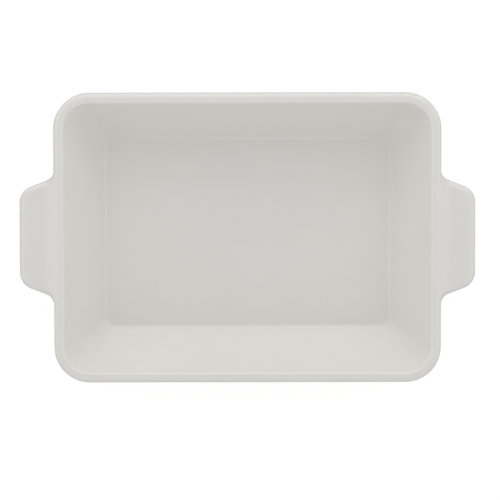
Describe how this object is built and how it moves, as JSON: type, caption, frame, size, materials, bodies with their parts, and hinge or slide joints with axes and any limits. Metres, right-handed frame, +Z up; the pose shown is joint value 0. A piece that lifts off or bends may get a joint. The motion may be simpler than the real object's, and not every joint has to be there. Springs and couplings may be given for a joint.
{
  "type": "baking dish",
  "caption": "Rectangular porcelain baking dish with flared walls, a rounded rim, a lug handle at each end and an unglazed foot ring.",
  "frame": {"origin": "on the table under the middle of the dish, at the foot ring's resting face", "axes": "+X along the length, towards the right handle; +Y across the width, towards the far long wall; +Z up, out of the basin"},
  "size_m": [0.36, 0.229, 0.063],
  "materials": {
    "glaze": "glossy clear glaze over off-white porcelain",
    "biscuit": "bare fired porcelain, wiped free of glaze and slightly ground"
  },
  "bodies": {
    "root": {"dish_body": "glaze", "left_handle": "glaze", "right_handle": "glaze", "foot_ring": "biscuit"}
  },
  "joints": []
}
